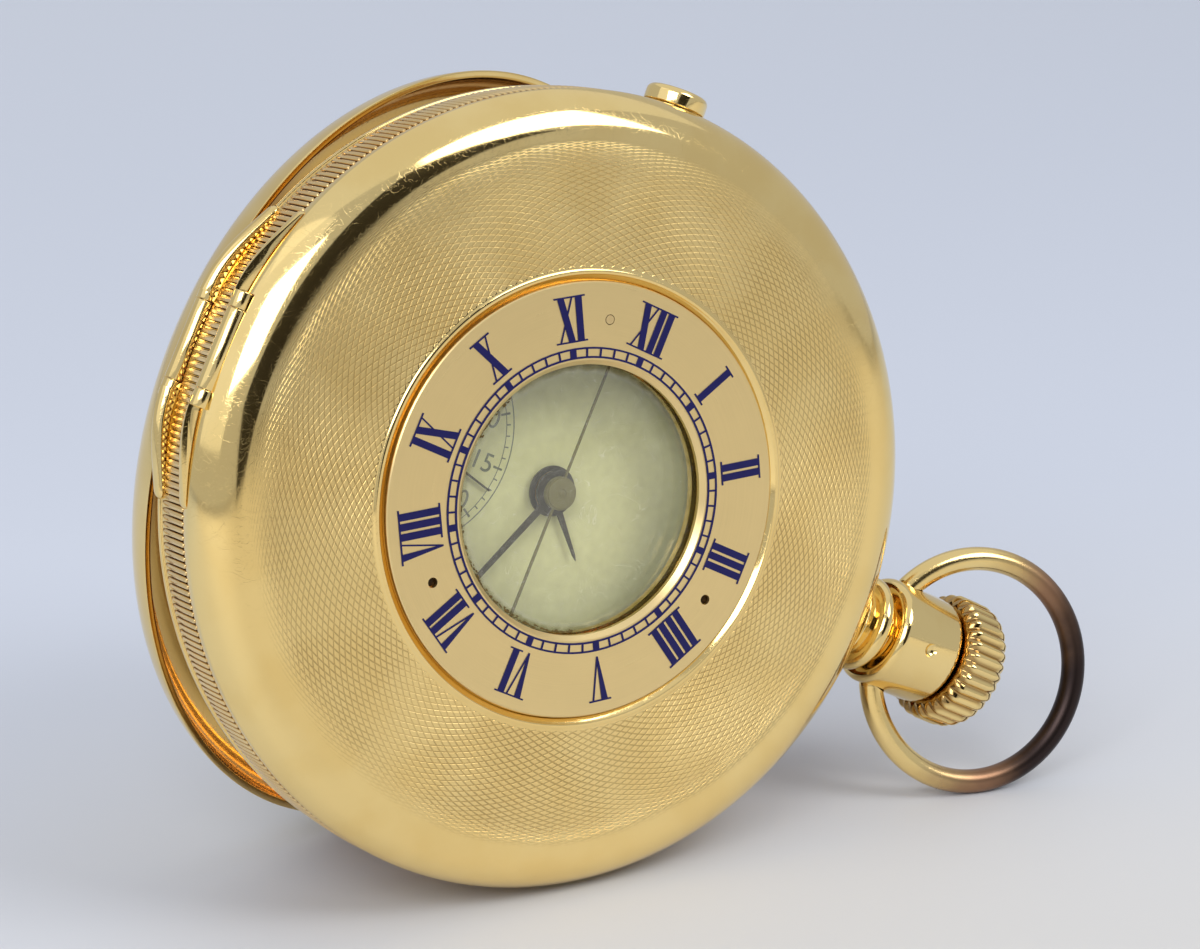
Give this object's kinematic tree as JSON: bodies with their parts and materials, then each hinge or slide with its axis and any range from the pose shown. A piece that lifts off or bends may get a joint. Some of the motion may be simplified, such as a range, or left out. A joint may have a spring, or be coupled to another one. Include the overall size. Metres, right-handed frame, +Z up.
{
  "type": "half hunter pocket watch",
  "caption": "Gold half hunter pocket watch with a window and numeral ring in its front cover, opened back cover, inner dust cover, crown, bow and a keyless movement.",
  "frame": {"origin": "middle of the bounding box's footprint, on the surface that the watch stands on", "axes": "+X towards the bow, -Y the way the dial faces, +Z up; the watch stands on its band's back edge, its open back cover and its bow"},
  "size_m": [0.0662, 0.03, 0.0502],
  "materials": {
    "case_gold": "polished yellow gold, worn",
    "ring_gold": "satin pale gold",
    "inner_gold": "tarnished gold",
    "bow_gold": "worn gold with dark tarnish",
    "blue_enamel": "dark blue vitreous enamel",
    "window_glass": "clear mineral glass",
    "dial_enamel": "aged off-white enamel",
    "hand_metal": "tarnished steel",
    "boss_gold": "pale gold",
    "steel": "polished steel",
    "blued_steel": "heat-blued steel",
    "gilt_brass": "frosted gilt",
    "ruby": "polished ruby"
  },
  "bodies": {
    "case": {"case_middle": "case_gold", "cover_hinge_pins": "case_gold", "cuvette_hinge_pin": "inner_gold", "glass_bezel": "case_gold", "dial_crystal": "window_glass", "pendant": "case_gold", "stem_sleeve": "steel", "bow_screw": "steel", "push_tube": "case_gold", "push_spring": "steel", "dial": "dial_enamel", "main_plate": "gilt_brass", "three_quarter_plate": "gilt_brass", "train_jewels": "ruby", "movement_screws": "blued_steel", "pallet_cock": "gilt_brass", "balance_cock": "gilt_brass", "regulator": "steel", "sweep_bridge": "gilt_brass", "crown_wheel_screw": "steel", "lock_spring": "steel", "lift_spring": "steel"},
    "front_cover": {"front_cover": "case_gold", "chapter_ring": "ring_gold", "chapter_ring_rivets": "case_gold", "chapter_numerals": "blue_enamel", "minute_track": "blue_enamel", "window_crystal": "window_glass", "window_retaining_ring": "case_gold"},
    "back_cover": {"back_cover": "inner_gold"},
    "cuvette": {"cuvette": "inner_gold"},
    "bow": {"bow": "bow_gold"},
    "winding": {"crown": "case_gold", "winding_stem": "steel", "winding_pinion": "steel"},
    "crown_wheel": {"crown_wheel": "steel"},
    "ratchet": {"ratchet_wheel": "steel", "barrel_arbor": "steel"},
    "click": {"click": "steel"},
    "barrel": {"barrel": "gilt_brass", "barrel_cover": "gilt_brass", "mainspring": "blued_steel"},
    "centre": {"centre_wheel": "gilt_brass", "cannon_pinion": "steel", "minute_hand": "hand_metal"},
    "hour": {"hour_wheel": "gilt_brass", "hour_hand": "hand_metal"},
    "minute_work": {"minute_wheel": "gilt_brass"},
    "third": {"third_wheel": "gilt_brass", "sweep_driving_wheel": "gilt_brass"},
    "fourth": {"fourth_wheel": "gilt_brass", "small_seconds_hand": "hand_metal"},
    "escape": {"escape_wheel": "steel"},
    "centre_seconds": {"sweep_seconds_pinion": "steel", "centre_seconds_hand": "boss_gold"},
    "fork": {"pallet_fork": "steel"},
    "balance": {"balance_wheel": "gilt_brass", "balance_staff": "steel", "hairspring": "blued_steel"},
    "push_button": {"push_button": "case_gold"}
  },
  "joints": [
    {"name": "front_cover_hinge", "type": "hinge", "parent": "case", "child": "front_cover", "pos_m": [-0.02934, -0.00969, 0.03686], "axis": [0.4668, 0.0817, 0.8806], "range_deg": [-95, 0]},
    {"name": "back_cover_hinge", "type": "hinge", "parent": "case", "child": "back_cover", "pos_m": [-0.02934, -0.00511, 0.03643], "axis": [0.4668, 0.0817, 0.8806], "range_deg": [-23, 60]},
    {"name": "cuvette_hinge", "type": "hinge", "parent": "case", "child": "cuvette", "pos_m": [-0.02831, -0.00479, 0.03585], "axis": [0.4668, 0.0817, 0.8806], "range_deg": [0, 16]},
    {"name": "bow_pivot", "type": "hinge", "parent": "case", "child": "bow", "pos_m": [0.01894, -0.00926, 0.01122], "axis": [0.4668, 0.0817, 0.8806], "range_deg": [-80, 90]},
    {"name": "crown_turn", "type": "hinge", "parent": "case", "child": "winding", "pos_m": [0.02186, -0.0094, 0.00968], "axis": [0.8843, -0.0431, -0.4649], "continuous": true},
    {"name": "crown_wheel_turn", "type": "hinge", "parent": "case", "child": "crown_wheel", "pos_m": [0.00674, -0.00687, 0.01747], "axis": [0, -0.9957, 0.0924], "continuous": true},
    {"name": "ratchet_turn", "type": "hinge", "parent": "case", "child": "ratchet", "pos_m": [0.00266, -0.00613, 0.02545], "axis": [0, -0.9957, 0.0924], "continuous": true},
    {"name": "click_pivot", "type": "hinge", "parent": "case", "child": "click", "pos_m": [0.0043, -0.00566, 0.03054], "axis": [0, -0.9957, 0.0924], "range_deg": [-4, 6]},
    {"name": "fourth_turn", "type": "hinge", "parent": "case", "child": "fourth", "pos_m": [-0.01661, -0.00464, 0.02964], "axis": [0, -0.9957, 0.0924], "continuous": true},
    {"name": "third_turn", "type": "hinge", "parent": "case", "child": "third", "pos_m": [-0.01405, -0.00514, 0.02428], "axis": [0, -0.9957, 0.0924], "continuous": true},
    {"name": "centre_turn", "type": "hinge", "parent": "case", "child": "centre", "pos_m": [-0.00732, -0.00609, 0.02485], "axis": [0, -0.9957, 0.0924], "continuous": true},
    {"name": "barrel_turn", "type": "hinge", "parent": "case", "child": "barrel", "pos_m": [0.00266, -0.00524, 0.02537], "axis": [0, -0.9957, 0.0924], "continuous": true},
    {"name": "escape_turn", "type": "hinge", "parent": "case", "child": "escape", "pos_m": [-0.01589, -0.00416, 0.03484], "axis": [0, -0.9957, 0.0924], "continuous": true},
    {"name": "centre_seconds_turn", "type": "hinge", "parent": "case", "child": "centre_seconds", "pos_m": [-0.00732, -0.00708, 0.02494], "axis": [0, -0.9957, 0.0924], "continuous": true},
    {"name": "minute_wheel_turn", "type": "hinge", "parent": "case", "child": "minute_work", "pos_m": [-0.00714, -0.00852, 0.02026], "axis": [0, -0.9957, 0.0924], "continuous": true},
    {"name": "hour_turn", "type": "hinge", "parent": "case", "child": "hour", "pos_m": [-0.00732, -0.00907, 0.02512], "axis": [0, -0.9957, 0.0924], "continuous": true},
    {"name": "fork_pivot", "type": "hinge", "parent": "case", "child": "fork", "pos_m": [-0.01289, -0.00457, 0.03473], "axis": [0, -0.9957, 0.0924], "range_deg": [-2, 2]},
    {"name": "balance_swing", "type": "hinge", "parent": "case", "child": "balance", "pos_m": [-0.0077, -0.0032, 0.03435], "axis": [0, -0.9957, 0.0924], "range_deg": [-270, 270], "stiffness_Nm_per_rad": 0.0000014},
    {"name": "push_slide", "type": "slide", "parent": "case", "child": "push_button", "axis": [-0.4199, -0.0838, -0.9037], "range_m": [0, 0.00045], "stiffness_N_per_m": 300, "springref_m": -0.0005, "deforming": ["push_spring"]}
  ],
  "couplings": [
    {"joint": "crown_wheel_turn", "follows": "crown_turn", "ratio": 0.33333},
    {"joint": "ratchet_turn", "follows": "crown_turn", "ratio": -0.33333},
    {"joint": "third_turn", "follows": "fourth_turn", "ratio": -0.13333},
    {"joint": "centre_turn", "follows": "fourth_turn", "ratio": 0.016667},
    {"joint": "barrel_turn", "follows": "fourth_turn", "ratio": -0.0020833},
    {"joint": "escape_turn", "follows": "fourth_turn", "ratio": -10},
    {"joint": "centre_seconds_turn", "follows": "fourth_turn", "ratio": 1},
    {"joint": "minute_wheel_turn", "follows": "fourth_turn", "ratio": -0.0055556},
    {"joint": "hour_turn", "follows": "fourth_turn", "ratio": 0.0013889}
  ]
}
